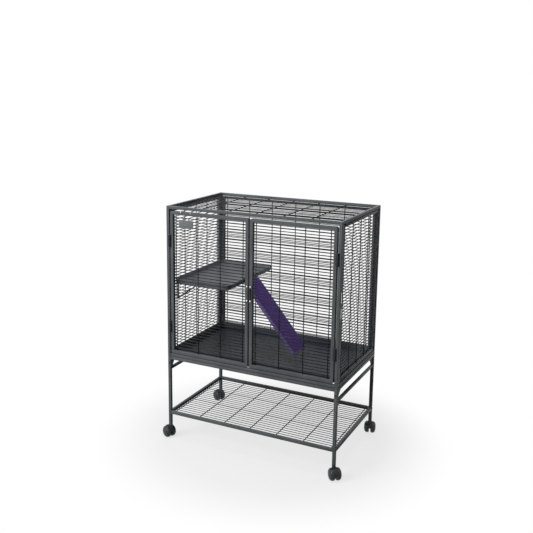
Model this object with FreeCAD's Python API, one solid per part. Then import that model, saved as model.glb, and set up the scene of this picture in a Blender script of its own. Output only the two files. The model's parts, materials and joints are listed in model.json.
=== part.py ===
import FreeCAD, Part
import math
import os

from FreeCAD import Vector

# Overall size, in millimetres. X runs to the viewer's right, Y to the back, Z up.
WIDTH = 762.0
DEPTH = 457.0
HEIGHT = 1016.0

# Tube and rail sections
TUBE = 13.0
TUBE_EDGE = 1.2
RAIL_HEIGHT = 12.0
DOOR_TUBE = 14.0
PANEL_TUBE = 11.0
STRETCHER = 11.0
GUSSET_THICK = 4.0
GUSSET_REACH = 55.0
GUSSET_FOOT = 10.0
GUSSET_SAG = 8.0

# Heights of the stand and the cage on it
LEG_FOOT = 58.0
SHELF_RAIL_LOW = 111.0
STRETCHER_LOW = 311.0
STAND_TOP = 371.0
BASE_GAP = 2.0
BASE_TOP = STAND_TOP + BASE_GAP + RAIL_HEIGHT
TOP_RAIL_LOW = HEIGHT - RAIL_HEIGHT

# Inner faces and centres of the corner posts
X_OUT = WIDTH / 2
Y_OUT = DEPTH / 2
X_IN = X_OUT - TUBE
Y_IN = Y_OUT - TUBE
X_POST = X_OUT - TUBE / 2
Y_POST = Y_OUT - TUBE / 2

# Welded wire: fine wires at a close pitch, heavier stays across them
PITCH = 12.7
SHELF_PITCH = 19.05
TOP_PITCH = 25.4
FLOOR_PITCH = 38.1
FINE_WIRE = 3.0
LEVEL_WIRE = 2.4
STAY_WIRE = 3.4
FLOOR_WIRE = 3.0
STAY_INSET = 12.0
LEVEL_STAYS = 7
SIDE_STAYS = 5
BACK_STAYS = 7
DOOR_STAYS = 4
SHELF_MESH_DROP = 5.0
TOP_MESH_DROP = 8.0
FLOOR_MESH_RISE = 5.0

# Framed panels hang between the posts with an even gap all round
SIDE_GAP = 5.0
LEVEL_GAP = 3.0
PANEL_RECESS = 2.0
CLIP_HEIGHT = 18.0
CLIP_WIDTH = 9.0
CLIP_LEVELS = (0.1, 0.5, 0.9)
SPRING_HEIGHT = 42.0
SPRING_GAP = 1.0
SPRING_WIDTH = 4.0
SPRING_SET = 0.8

# Bolts that hold the stand together
BOLT_LEVEL = 343.0
BOLT_R = 3.5
BOLT_HEAD = 2.5

# Doors
DOOR_TOP_GAP = 8.0
DOOR_LOW = BASE_TOP + LEVEL_GAP
DOOR_HIGH = TOP_RAIL_LOW - DOOR_TOP_GAP
DOOR_OUTER = X_IN - SIDE_GAP
DOOR_INNER = 2.5
DOOR_BEND = 8.0

# Lift-off door hinges: a pin in the post's knuckle carries the door's knuckle in front of the gap
HINGE_LEVELS = (507.0, 874.0)
HINGE_X = X_IN - SIDE_GAP / 2
KNUCKLE_R = 4.25
KNUCKLE_SIDES = 8
KNUCKLE_CLEAR = 0.35
HINGE_Y = -Y_OUT - KNUCKLE_R - KNUCKLE_CLEAR
HINGE_PIN_R = 2.2
PIN_SEAT = 0.03
PIN_RUN = 0.05
KNUCKLE = 25.0
KNUCKLE_GAP = 0.4
HINGE_LEAF = 2.0
LEAF_START = 4.4
LEAF_WIDTH = 3.0

# Turn latch on the meeting stiles
STILE_X = DOOR_INNER + DOOR_TUBE / 2
PIVOT_INSET = 4.5
PIVOT_X = DOOR_INNER + PIVOT_INSET
LATCH_Z = 695.0
LATCH_WIDTH = 12.0
LATCH_THICK = 1.5
LATCH_HEIGHT = 74.0
LATCH_CORNER = 2.5
LATCH_SCREW_SPAN = 58.0
LATCH_SCREW_X = 7.5
SCREW_R = 3.4
SCREW_HEAD = 2.2
LEVER_LENGTH = 46.0
LEVER_WIDTH = 7.0
LEVER_THICK = 3.5
LEVER_CORNER = 2.0
LEVER_PLAY = 0.3
PIVOT_R = 2.0
PIVOT_HEAD_R = 3.2
PIVOT_HEAD = 1.8
TAB_DEPTH = 7.0
TAB_WIDTH = 5.0
TAB_THICK = 4.0
TAB_INSET = 2.5

# Blank name plate on the left door
PLATE_LEFT = -322.0
PLATE_WIDTH = 68.0
PLATE_HEIGHT = 34.0
PLATE_THICK = 1.5
PLATE_CORNER = 2.0
PLATE_TAB = 6.0
PLATE_TAB_SPAN = 26.0
PLATE_TOP_GAP = 7.0
PLATE_GAP = 0.4
PLATE_HOOK = 2.0
HANGER = 2.4
HANGER_SPAN = 46.0
HANGER_CLEAR = 0.4
HANGER_LIP = 5.0

# Floor pan and half shelf
PAN_CLEAR = 4.0
PAN_WALL = 2.5
PAN_HEIGHT = 26.0
PAN_TAPER = 5.0
PAN_CORNER = 18.0
PAN_LIP = 2.5
SHELF_LEFT = -358.0
SHELF_RIGHT = -102.0
SHELF_TOP = 709.0
SHELF_DEPTH = 20.0
SHELF_TAPER = 1.0
SHELF_CORNER = 14.0
SHELF_END_CLEAR = 9.0
BEAD_R = 3.5
BEAD_NECK = 2.4
BEAD_ROOM = 8.0

# Shelf brackets hooked over the left panel's wires
BRACKET_Y = 172.0
BRACKET_BAR = 5.0
BRACKET_SET = 2.0
BRACKET_DROP = 78.0
BRACKET_REACH = 104.0
STRUT_INSET = 2.0
STRUT = 8.0
WIRE_HOOK = 3.0
WIRE_HOOK_TIP = 4.0
WIRE_HOOK_GAP = 0.1

# Ramp hung on the shelf's right bead
RAMP_MID_Y = -24.0
RAMP_WIDTH = 124.0
RAMP_FOOT_X = 134.0
RAMP_FOOT_RISE = 36.0
RAMP_FOOT_CLEAR = 28.0
RAMP_BOARD = 6.0
BOARD_START = 9.0
BOARD_TAIL = 6.0
BOARD_INSET = 4.0
COVER_START = 18.0
COVER_PAD = 2.5
COVER_CROWN = 3.0
COVER_DRAW = 2.0
COVER_EDGE = 4.0
COVER_SLACK = 0.35
COVER_SECTIONS = 4
POCKET_END = 1.0
CLIP_WALL = 2.5
CLIP_PLAY = 0.4
CLIP_LENGTH = 14.0
CLIP_SPAN = 70.0
CLIP_STRAP = 2.0
CLIP_STRAP_END = 1.0
CLIP_START = -16.0
CLIP_TURN = 221.0

# Twin-wheel stem casters, with the way that each one trails at rest
WHEEL_R = 25.0
WHEEL_WIDTH = 20.5
WHEEL_SIDES = 24
WHEEL_PLAY = 0.5
WHEEL_SHOULDER = 9.0
WHEEL_SOFTENING = 3.0
WEB_HALF = 3.0
WEB_FOOT = 9.0
WEB_STEPS = 2
AXLE_R = 3.0
AXLE_RUN = 0.05
AXLE_INSET = 4.0
TRAIL = 13.0
HOOD_R = 27.4
HOOD_HALF = 7.5
HOOD_WALL = 1.7
HOOD_LOW = 0.0
HOOD_HIGH = 165.0
HOOD_STEPS = 12
BOSS_R = 7.5
BOSS_LOW = 4.0
BOSS_SIDES = 8
STEM_R = 3.8
STEM_LENGTH = 34.0
SOCKET_SIDE = 10.2
SOCKET_FIT = 0.1
SOCKET_DEPTH = 40.0
SOCKET_ROOF = 2.0
SOCKET_FLANGE = 3.0
SOCKET_CLEAR = 0.4
EDGE_MATCH = 0.001
CASTERS = {
    "front_left": (-1, -1, 155.0),
    "front_right": (1, -1, 309.0),
    "back_left": (-1, 1, 155.0),
    "back_right": (1, 1, 104.0),
}

os.makedirs("parts", exist_ok=True)
nodes = []


# Shared shapes

def export(name, solids):
    """Writes one node, a single solid or a group of separate ones."""
    shape = solids[0] if len(solids) == 1 else Part.makeCompound(solids)
    for solid in shape.Solids:
        if not solid.isValid() or solid.Volume <= 0:
            raise ValueError(name + " has a bad solid")
    shape.exportStep("parts/" + name + ".step")
    nodes.append(name)


def block(x0, x1, y0, y1, z0, z1):
    return Part.makeBox(x1 - x0, y1 - y0, z1 - z0, Vector(x0, y0, z0))


def closed(points):
    """A closed outline of straight edges."""
    corners = [Vector(*p) for p in points]
    return Part.makePolygon(corners + corners[:1])


def prism(points, run):
    return Part.Face(closed(points)).extrude(Vector(*run))


def along(axis, value):
    """A point or a run of the given length on one axis."""
    run = [0.0, 0.0, 0.0]
    run[axis] = value
    return run


def tube(low, high, axis, edge=TUBE_EDGE):
    """A straight bar of rectangular tube along one axis, its long edges broken."""
    a, b = [i for i in range(3) if i != axis]
    outline = [
        (low[a] + edge, low[b]), (high[a] - edge, low[b]),
        (high[a], low[b] + edge), (high[a], high[b] - edge),
        (high[a] - edge, high[b]), (low[a] + edge, high[b]),
        (low[a], high[b] - edge), (low[a], low[b] + edge),
    ]
    points = []
    for u, v in outline:
        point = [0.0, 0.0, 0.0]
        point[axis], point[a], point[b] = low[axis], u, v
        points.append(point)
    return prism(points, along(axis, high[axis] - low[axis]))


def rod(centre, radius, direction, length):
    return Part.makeCylinder(radius, length, Vector(*centre), Vector(*direction))


def wire(start, axis, length, size):
    """A straight wire with four flats, which lies flat on the wires that it is welded to."""
    low = [c - size / 2 for c in start]
    high = [c + size / 2 for c in start]
    low[axis], high[axis] = start[axis], start[axis] + length
    return block(low[0], high[0], low[1], high[1], low[2], high[2])


def flats(centre, axis, length, radius, sides):
    """A bar with even flats at a radius about one axis; a negative length runs it the other way."""
    a, b = [i for i in range(3) if i != axis]
    corner = radius / math.cos(math.pi / sides)
    points = []
    for k in range(sides):
        angle = 2 * math.pi * (k + 0.5) / sides
        point = list(centre)
        point[a] += corner * math.cos(angle)
        point[b] += corner * math.sin(angle)
        points.append(point)
    return prism(points, along(axis, length))


def plate(x0, x1, z0, z1, back, thick, corner):
    """An upright plate facing the front, its four corners clipped."""
    outline = [
        (x0 + corner, z0), (x1 - corner, z0), (x1, z0 + corner), (x1, z1 - corner),
        (x1 - corner, z1), (x0 + corner, z1), (x0, z1 - corner), (x0, z0 + corner),
    ]
    return prism([(x, back, z) for x, z in outline], (0, -thick, 0))


def spread(low, high, pitch):
    """Even positions between two rails, close to a pitch."""
    steps = round((high - low) / pitch)
    return [low + (high - low) * k / steps for k in range(1, steps)]


def stay_places(low, high, count):
    first, last = low + STAY_INSET, high - STAY_INSET
    return [first + (last - first) * k / (count - 1) for k in range(count)]


def mesh(span, rows, fine_axis, row_axis, normal, weld, stays, out, fine=FINE_WIRE, heavy=()):
    """Welded mesh: fine wires along one axis and stays along the other, touching at the weld plane."""
    lows, highs = span
    solids = []
    for k, row in enumerate(rows):
        size = STAY_WIRE if k in heavy else fine
        start = [0.0, 0.0, 0.0]
        start[fine_axis], start[row_axis], start[normal] = lows[0], row, weld - out * size / 2
        solids.append(wire(start, fine_axis, highs[0] - lows[0], size))
    for place in stays:
        start = [0.0, 0.0, 0.0]
        start[fine_axis], start[row_axis], start[normal] = place, lows[1], weld + out * STAY_WIRE / 2
        solids.append(wire(start, row_axis, highs[1] - lows[1], STAY_WIRE))
    return solids


def rounded_wire(x0, x1, y0, y1, z, r):
    """A flat rectangle with round corners at height z."""
    bend = r * (1 - math.sqrt(0.5))
    runs = [
        ((x0 + r, y0), (x1 - r, y0), (x1 - bend, y0 + bend)),
        ((x1, y0 + r), (x1, y1 - r), (x1 - bend, y1 - bend)),
        ((x1 - r, y1), (x0 + r, y1), (x0 + bend, y1 - bend)),
        ((x0, y1 - r), (x0, y0 + r), (x0 + bend, y0 + bend)),
    ]
    edges = []
    for k, (start, end, corner) in enumerate(runs):
        following = runs[(k + 1) % 4][0]
        a, b, c, d = [Vector(p[0], p[1], z) for p in (start, end, corner, following)]
        edges.append(Part.makeLine(a, b))
        edges.append(Part.Arc(b, c, d).toShape())
    return Part.Wire(edges)


def rounded_prism(x0, x1, y0, y1, z0, z1, r):
    return Part.Face(rounded_wire(x0, x1, y0, y1, z0, r)).extrude(Vector(0, 0, z1 - z0))


def tray(x0, x1, y0, y1, z0, z1, corner, taper):
    """A moulded tray with leaning walls and a thickened lip round its top."""
    outer = Part.makeLoft([
        rounded_wire(x0 + taper, x1 - taper, y0 + taper, y1 - taper, z0, corner),
        rounded_wire(x0, x1, y0, y1, z1, corner),
    ], True, True)
    hollow_r = corner - PAN_WALL
    inset = taper + PAN_WALL
    hollow = Part.makeLoft([
        rounded_wire(x0 + inset, x1 - inset, y0 + inset, y1 - inset, z0 + PAN_WALL, hollow_r),
        rounded_wire(x0 + PAN_WALL, x1 - PAN_WALL, y0 + PAN_WALL, y1 - PAN_WALL, z1, hollow_r),
    ], True, True)
    rim = z1 - PAN_LIP
    lip = rounded_prism(x0 - PAN_LIP, x1 + PAN_LIP, y0 - PAN_LIP, y1 + PAN_LIP, rim, z1, corner + PAN_LIP)
    mouth = rounded_prism(x0 + PAN_WALL, x1 - PAN_WALL, y0 + PAN_WALL, y1 - PAN_WALL, rim, z1, hollow_r)
    return outer.cut(hollow).fuse(lip.cut(mouth)).removeSplitter()


# Stand: two welded side frames, two cross rails and the lower shelf

def leg(x, y):
    """A leg with its foot bored square for the caster's socket."""
    post = tube((x - TUBE / 2, y - TUBE / 2, LEG_FOOT), (x + TUBE / 2, y + TUBE / 2, STAND_TOP), 2)
    half = SOCKET_SIDE / 2 + SOCKET_FIT
    return post.cut(block(x - half, x + half, y - half, y + half, LEG_FOOT, LEG_FOOT + SOCKET_DEPTH))


def gusset(x, sign):
    """A curved web in the corner of the leg, the top rail and the stretcher."""
    top = STAND_TOP - TUBE
    low = STRETCHER_LOW + STRETCHER
    x0 = x - GUSSET_THICK / 2
    corner = Vector(x0, sign * Y_IN, top)
    rail_end = Vector(x0, sign * (Y_IN - GUSSET_REACH), top)
    foot_end = Vector(x0, sign * (Y_IN - GUSSET_FOOT), low)
    foot = Vector(x0, sign * Y_IN, low)
    middle = (rail_end + foot_end) * 0.5
    inward = (corner - middle).normalize() * GUSSET_SAG
    outline = Part.Wire([
        Part.makeLine(corner, rail_end),
        Part.Arc(rail_end, middle + inward, foot_end).toShape(),
        Part.makeLine(foot_end, foot),
        Part.makeLine(foot, corner),
    ])
    return Part.Face(outline).extrude(Vector(GUSSET_THICK, 0, 0))


def side_frame(sign):
    x = sign * X_POST
    half = TUBE / 2
    solids = [leg(x, -Y_POST), leg(x, Y_POST)]
    solids.append(tube((x - half, -Y_IN, STAND_TOP - TUBE), (x + half, Y_IN, STAND_TOP), 1))
    thin = STRETCHER / 2
    solids.append(tube((x - thin, -Y_IN, STRETCHER_LOW), (x + thin, Y_IN, STRETCHER_LOW + STRETCHER), 1))
    return solids + [gusset(x, -1), gusset(x, 1)]


export("stand_left_frame", side_frame(-1))
export("stand_right_frame", side_frame(1))
for name, sign in (("stand_front_rail", -1), ("stand_back_rail", 1)):
    y = sign * Y_POST
    export(name, [tube((-X_IN, y - TUBE / 2, STAND_TOP - TUBE), (X_IN, y + TUBE / 2, STAND_TOP), 0)])


def shelf_rails():
    low, high = SHELF_RAIL_LOW, SHELF_RAIL_LOW + TUBE
    half = TUBE / 2
    rails = []
    for sign in (-1, 1):
        x, y = sign * X_POST, sign * Y_POST
        rails.append(tube((-X_IN, y - half, low), (X_IN, y + half, high), 0))
        rails.append(tube((x - half, -Y_IN, low), (x + half, Y_IN, high), 1))
    return rails


export("lower_shelf_frame", shelf_rails())
shelf_rows = spread(-Y_IN, Y_IN, SHELF_PITCH)
shelf_third = len(shelf_rows) // 3
level_span = ((-X_IN, -Y_IN), (X_IN, Y_IN))
level_stays = stay_places(-X_IN, X_IN, LEVEL_STAYS)
SHELF_WELD = SHELF_RAIL_LOW + TUBE - SHELF_MESH_DROP
export("lower_shelf_mesh", mesh(
    level_span, shelf_rows, 0, 1, 2, SHELF_WELD, level_stays, -1, LEVEL_WIRE, (shelf_third, 2 * shelf_third)))


# Cage frame: a front and a back frame joined by side rails

def end_frame(sign):
    y0, y1 = sign * Y_POST - TUBE / 2, sign * Y_POST + TUBE / 2
    solids = []
    for side in (-1, 1):
        x = side * X_POST
        solids.append(tube((x - TUBE / 2, y0, STAND_TOP), (x + TUBE / 2, y1, HEIGHT), 2))
    for low in (STAND_TOP + BASE_GAP, TOP_RAIL_LOW):
        solids.append(tube((-X_IN, y0, low), (X_IN, y1, low + RAIL_HEIGHT), 0))
    return solids


def side_rails(low):
    rails = []
    for side in (-1, 1):
        x = side * X_POST
        rails.append(tube((x - TUBE / 2, -Y_IN, low), (x + TUBE / 2, Y_IN, low + RAIL_HEIGHT), 1))
    return rails


export("front_frame", end_frame(-1))
export("back_frame", end_frame(1))
export("top_side_rails", side_rails(TOP_RAIL_LOW))
export("base_side_rails", side_rails(STAND_TOP + BASE_GAP))
top_rows = spread(-Y_IN, Y_IN, TOP_PITCH)
TOP_WELD = HEIGHT - TOP_MESH_DROP
export("top_mesh", mesh(
    level_span, top_rows, 0, 1, 2, TOP_WELD, level_stays, -1, LEVEL_WIRE, (len(top_rows) // 2,)))
floor_rows = spread(-Y_IN, Y_IN, FLOOR_PITCH)
FLOOR_WELD = STAND_TOP + BASE_GAP + FLOOR_MESH_RISE
export("floor_grid", mesh(
    level_span, floor_rows, 0, 1, 2, FLOOR_WELD, level_stays, -1, FLOOR_WIRE))


# Framed side and back panels, held off the posts by clips

PANEL_LOW = BASE_TOP + LEVEL_GAP
PANEL_HIGH = TOP_RAIL_LOW - LEVEL_GAP
panel_rows = spread(PANEL_LOW + PANEL_TUBE, PANEL_HIGH - PANEL_TUBE, PITCH)


def panel(run_axis, reach, normal, outside, sign, stay_count):
    """A framed mesh panel, upright, its stiles at plus and minus reach along run_axis."""
    inside = outside - sign * PANEL_TUBE
    depth = sorted((outside, inside))

    def bar(along, low_run, high_run, low_z, high_z):
        low, high = [0.0, 0.0, low_z], [0.0, 0.0, high_z]
        low[run_axis], high[run_axis] = low_run, high_run
        low[normal], high[normal] = depth
        return tube(low, high, along)

    inner = reach - PANEL_TUBE
    frame = [
        bar(2, -reach, -inner, PANEL_LOW, PANEL_HIGH),
        bar(2, inner, reach, PANEL_LOW, PANEL_HIGH),
        bar(run_axis, -inner, inner, PANEL_LOW, PANEL_LOW + PANEL_TUBE),
        bar(run_axis, -inner, inner, PANEL_HIGH - PANEL_TUBE, PANEL_HIGH),
    ]
    span = ((-inner, PANEL_LOW + PANEL_TUBE), (inner, PANEL_HIGH - PANEL_TUBE))
    weld = (outside + inside) / 2
    stays = stay_places(-inner, inner, stay_count)
    return frame, mesh(span, panel_rows, run_axis, 2, normal, weld, stays, sign)


side_reach = Y_IN - SIDE_GAP
back_reach = X_IN - SIDE_GAP
for name, run_axis, reach, normal, outside, sign, stays in (
    ("left_panel", 1, side_reach, 0, -X_OUT + PANEL_RECESS, -1, SIDE_STAYS),
    ("right_panel", 1, side_reach, 0, X_OUT - PANEL_RECESS, 1, SIDE_STAYS),
    ("back_panel", 0, back_reach, 1, Y_OUT - PANEL_RECESS, 1, BACK_STAYS),
):
    frame, wires = panel(run_axis, reach, normal, outside, sign, stays)
    export(name + "_frame", frame)
    export(name + "_mesh", wires)


def panel_clips():
    clips = []
    middle = X_OUT - PANEL_RECESS - PANEL_TUBE / 2
    back = Y_OUT - PANEL_RECESS - PANEL_TUBE / 2
    half = CLIP_WIDTH / 2
    for level in CLIP_LEVELS:
        z = PANEL_LOW + (PANEL_HIGH - PANEL_LOW) * level
        z0, z1 = z - CLIP_HEIGHT / 2, z + CLIP_HEIGHT / 2
        for side in (-1, 1):
            x0, x1 = sorted((side * back_reach, side * X_IN))
            clips.append(block(x0, x1, back - half, back + half, z0, z1))
            for end in (-1, 1):
                y0, y1 = sorted((end * side_reach, end * Y_IN))
                x = side * middle
                clips.append(block(x - half, x + half, y0, y1, z0, z1))
    return clips


export("panel_clips", panel_clips())


def panel_springs():
    """Spring strips above and below the middle clip, at the front end of each side panel."""
    strips = []
    z = PANEL_LOW + (PANEL_HIGH - PANEL_LOW) / 2
    start = CLIP_HEIGHT / 2 + SPRING_GAP
    end = start + SPRING_HEIGHT
    for side in (-1, 1):
        x0, x1 = sorted((side * (X_OUT - SPRING_SET), side * (X_OUT - SPRING_SET - SPRING_WIDTH)))
        for z0, z1 in ((z - end, z - start), (z + start, z + end)):
            strips.append(block(x0, x1, -Y_IN, -side_reach, z0, z1))
    return strips


export("panel_springs", panel_springs())


def frame_bolts():
    """Heads on the faces of the legs, for the cross rails and the lower shelf."""
    bolts = []
    shelf_z = SHELF_RAIL_LOW + TUBE / 2
    for side in (-1, 1):
        for end in (-1, 1):
            bolts.append(flats((side * X_POST, end * Y_OUT, BOLT_LEVEL), 1, end * BOLT_HEAD, BOLT_R, 6))
            bolts.append(flats((side * X_OUT, end * Y_POST, shelf_z), 0, side * BOLT_HEAD, BOLT_R, 6))
    return bolts


export("frame_bolts", frame_bolts())


# Doors with bent tube frames

def door_frame(sign):
    x0, x1 = sorted((sign * DOOR_INNER, sign * DOOR_OUTER))
    low, high = DOOR_LOW, DOOR_HIGH
    wall = DOOR_TUBE
    outer = rounded_prism(x0, x1, low, high, 0, wall, DOOR_BEND)
    inner = block(x0 + wall, x1 - wall, low + wall, high - wall, 0, wall)
    frame = outer.cut(inner)
    front = [e for e in frame.Edges if e.BoundBox.ZMin > DOOR_TUBE - EDGE_MATCH]
    frame = frame.makeChamfer(TUBE_EDGE, front)
    frame.rotate(Vector(0, 0, 0), Vector(1, 0, 0), 90)
    frame.translate(Vector(0, -Y_OUT + DOOR_TUBE, 0))
    return frame


DOOR_WELD_Y = -Y_OUT + DOOR_TUBE / 2
door_rows = spread(DOOR_LOW + DOOR_TUBE, DOOR_HIGH - DOOR_TUBE, PITCH)


def door_mesh(sign):
    x0, x1 = sorted((sign * (DOOR_INNER + DOOR_TUBE), sign * (DOOR_OUTER - DOOR_TUBE)))
    span = ((x0, DOOR_LOW + DOOR_TUBE), (x1, DOOR_HIGH - DOOR_TUBE))
    return mesh(span, door_rows, 0, 2, 1, DOOR_WELD_Y, stay_places(x0, x1, DOOR_STAYS), -1)


def hinge_leaf(sign, toward, level, low, high, bore):
    """A leaf flat on the tube, toward one side of the pin, with its own knuckle on the pin."""
    x = sign * HINGE_X
    start, end = toward * LEAF_START, toward * (LEAF_START + LEAF_WIDTH)
    strap_x = sorted((x, x + start))
    leaf_x = sorted((x + start, x + end))
    face = (-Y_OUT - HINGE_LEAF, -Y_OUT)
    barrel = flats((x, HINGE_Y, low), 2, high - low, KNUCKLE_R, KNUCKLE_SIDES)
    strap = block(*strap_x, *face, low, high)
    leaf = block(*leaf_x, *face, level - KNUCKLE, level + KNUCKLE)
    hole = rod((x, HINGE_Y, low), bore, (0, 0, 1), high - low)
    return barrel.fuse(strap).fuse(leaf).cut(hole).removeSplitter()


def hinge(sign, level):
    """The post's leaf below, the door's leaf above it, and the pin that stands in both."""
    low, high = level - KNUCKLE, level + KNUCKLE
    post = hinge_leaf(sign, sign, level, low, level - KNUCKLE_GAP / 2, HINGE_PIN_R + PIN_SEAT)
    door = hinge_leaf(sign, -sign, level, level + KNUCKLE_GAP / 2, high, HINGE_PIN_R + PIN_RUN)
    pin = rod((sign * HINGE_X, HINGE_Y, low), HINGE_PIN_R, (0, 0, 1), high - low)
    return post, door, pin


post_leaves = []
pins = []
for name, sign in (("left_door", -1), ("right_door", 1)):
    hinges = [hinge(sign, level) for level in HINGE_LEVELS]
    post_leaves += [h[0] for h in hinges]
    pins += [h[2] for h in hinges]
    export(name + "_frame", [door_frame(sign)])
    export(name + "_mesh", door_mesh(sign))
    export(name + "_hinges", [h[1] for h in hinges])
export("post_hinges", post_leaves)
export("hinge_pins", pins)


# Turn latch: plates on both meeting stiles, a lever that swings across them

LATCH_FRONT = -Y_OUT - LATCH_THICK
LEVER_BACK = LATCH_FRONT - LEVER_PLAY
LEVER_FRONT = LEVER_BACK - LEVER_THICK


def latch_plate(sign):
    x, half = sign * STILE_X, LATCH_WIDTH / 2
    tall = LATCH_HEIGHT / 2
    return plate(x - half, x + half, LATCH_Z - tall, LATCH_Z + tall, -Y_OUT, LATCH_THICK, LATCH_CORNER)


def latch_screws(sign):
    levels = [LATCH_Z + end * LATCH_SCREW_SPAN / 2 for end in (-1, 1)]
    return [flats((sign * LATCH_SCREW_X, LATCH_FRONT, z), 1, -SCREW_HEAD, SCREW_R, 6) for z in levels]


def latch_lever():
    """A bar on the pivot with a finger tab at its upper end."""
    half, side = LEVER_LENGTH / 2, LEVER_WIDTH / 2
    bar = plate(PIVOT_X - side, PIVOT_X + side, LATCH_Z - half, LATCH_Z + half,
                LEVER_BACK, LEVER_THICK, LEVER_CORNER)
    tab_top = LATCH_Z + half - TAB_INSET
    tab = block(PIVOT_X - TAB_WIDTH / 2, PIVOT_X + TAB_WIDTH / 2, LEVER_FRONT - TAB_DEPTH, LEVER_BACK,
                tab_top - TAB_THICK, tab_top)
    hole = rod((PIVOT_X, LEVER_BACK, LATCH_Z), PIVOT_R + PIN_RUN, (0, -1, 0), LEVER_THICK)
    return bar.fuse(tab).cut(hole).removeSplitter()


def latch_pivot():
    head_y = LEVER_FRONT - LEVER_PLAY
    shank = rod((PIVOT_X, LATCH_FRONT, LATCH_Z), PIVOT_R, (0, -1, 0), LATCH_FRONT - head_y)
    head = flats((PIVOT_X, head_y, LATCH_Z), 1, -PIVOT_HEAD, PIVOT_HEAD_R, 6)
    return shank.fuse(head).removeSplitter()


export("keeper_plate", [latch_plate(-1)])
export("keeper_screws", latch_screws(-1))
export("latch_plate", [latch_plate(1)])
export("latch_screws", latch_screws(1))
export("latch_lever", [latch_lever()])
export("latch_pivot", [latch_pivot()])


# Blank name plate with two tabs hooked over a door wire

def name_plate():
    hook_row = door_rows[-1]
    back = DOOR_WELD_Y - STAY_WIRE - PLATE_GAP
    front = back - PLATE_THICK
    top = hook_row - PLATE_TOP_GAP
    seat = hook_row + FINE_WIRE / 2
    hook_end = DOOR_WELD_Y + FINE_WIRE + PLATE_HOOK
    right = PLATE_LEFT + PLATE_WIDTH
    tag = plate(PLATE_LEFT, right, top - PLATE_HEIGHT, top, back, PLATE_THICK, PLATE_CORNER)
    for side in (-1, 1):
        x = PLATE_LEFT + PLATE_WIDTH / 2 + side * PLATE_TAB_SPAN / 2
        x0, x1 = x - PLATE_TAB / 2, x + PLATE_TAB / 2
        riser = block(x0, x1, front, back, top, seat + PLATE_THICK)
        hook = block(x0, x1, back, hook_end, seat, seat + PLATE_THICK)
        tag = tag.fuse(riser).fuse(hook)
    return tag.removeSplitter()


export("name_plate", [name_plate()])


def plate_hangers():
    """Two bent strips from the plate's level, up behind the door's top rail and over it."""
    strips = []
    front = -Y_OUT - HANGER_CLEAR
    back = -Y_OUT + DOOR_TUBE + HANGER_CLEAR
    top = DOOR_HIGH + HANGER_CLEAR
    for side in (-1, 1):
        x = PLATE_LEFT + PLATE_WIDTH / 2 + side * HANGER_SPAN / 2
        x0, x1 = x - HANGER / 2, x + HANGER / 2
        riser = block(x0, x1, back, back + HANGER, DOOR_HIGH - DOOR_TUBE - HANGER_LIP, top + HANGER)
        over = block(x0, x1, front - HANGER, back, top, top + HANGER)
        lip = block(x0, x1, front - HANGER, front, top - HANGER_LIP, top)
        strips.append(riser.fuse(over).fuse(lip).removeSplitter())
    return strips


export("plate_hangers", plate_hangers())


# Floor pan, half shelf and its brackets

PAN_LOW = FLOOR_WELD + FLOOR_WIRE
PAN_FLOOR = PAN_LOW + PAN_WALL
pan_x = X_IN - PAN_CLEAR - PAN_LIP
pan_y = Y_IN - PAN_CLEAR - PAN_LIP
export("floor_pan", [tray(
    -pan_x, pan_x, -pan_y, pan_y, PAN_LOW, PAN_LOW + PAN_HEIGHT, PAN_CORNER, PAN_TAPER)])

BEAD_X = SHELF_RIGHT - PAN_WALL / 2
BEAD_Z = SHELF_TOP - BEAD_R
SHELF_REACH = Y_IN - SHELF_END_CLEAR
SHELF_LOW = SHELF_TOP - SHELF_DEPTH


def half_shelf():
    """A tray whose right rim is a round bead on a neck, for the ramp to hang on."""
    shelf = tray(SHELF_LEFT, SHELF_RIGHT, -SHELF_REACH, SHELF_REACH, SHELF_LOW, SHELF_TOP,
                 SHELF_CORNER, SHELF_TAPER)
    end = SHELF_REACH - SHELF_CORNER - BEAD_ROOM
    rim = block(BEAD_X - BEAD_ROOM, BEAD_X + BEAD_ROOM, -end, end, BEAD_Z - BEAD_R, SHELF_TOP)
    bead = rod((BEAD_X, -end, BEAD_Z), BEAD_R, (0, 1, 0), 2 * end)
    neck = block(BEAD_X - BEAD_NECK / 2, BEAD_X + BEAD_NECK / 2, -end, end,
                 BEAD_Z - BEAD_R - BEAD_NECK, BEAD_Z)
    return shelf.cut(rim).fuse(bead).fuse(neck).removeSplitter()


export("half_shelf", [half_shelf()])


def shelf_bracket(y):
    """An upright, an arm under the shelf, a slanting strut and two hooks over the panel's wires."""
    y0, y1 = y - BRACKET_BAR / 2, y + BRACKET_BAR / 2
    face = SHELF_LEFT - BRACKET_SET
    wall = face - BRACKET_BAR
    end = wall + BRACKET_REACH
    arm = SHELF_LOW - BRACKET_BAR
    low = SHELF_LOW - BRACKET_DROP
    strut = [
        (face, y0, low + STRUT_INSET), (face, y0, low + STRUT_INSET + STRUT),
        (end - STRUT_INSET - STRUT, y0, arm), (end - STRUT_INSET, y0, arm),
    ]
    solids = [
        block(wall, face, y0, y1, low, SHELF_LOW),
        block(face, end, y0, y1, arm, SHELF_LOW),
        prism(strut, (0, BRACKET_BAR, 0)),
    ]
    wire_back = -X_OUT + PANEL_RECESS + PANEL_TUBE / 2 - WIRE_HOOK_GAP
    rows = [r for r in panel_rows if low + WIRE_HOOK < r < arm - WIRE_HOOK]
    for row in (rows[0], rows[-1]):
        seat = row + FINE_WIRE / 2
        tip = wire_back - WIRE_HOOK
        over = block(tip, wall, y0, y1, seat, seat + WIRE_HOOK)
        solids.append(over.fuse(block(tip, wire_back, y0, y1, seat - WIRE_HOOK_TIP, seat)).removeSplitter())
    return solids


export("shelf_brackets", shelf_bracket(-BRACKET_Y) + shelf_bracket(BRACKET_Y))


# Ramp: a board with two clips on the shelf's bead, in a padded cloth sleeve

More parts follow.
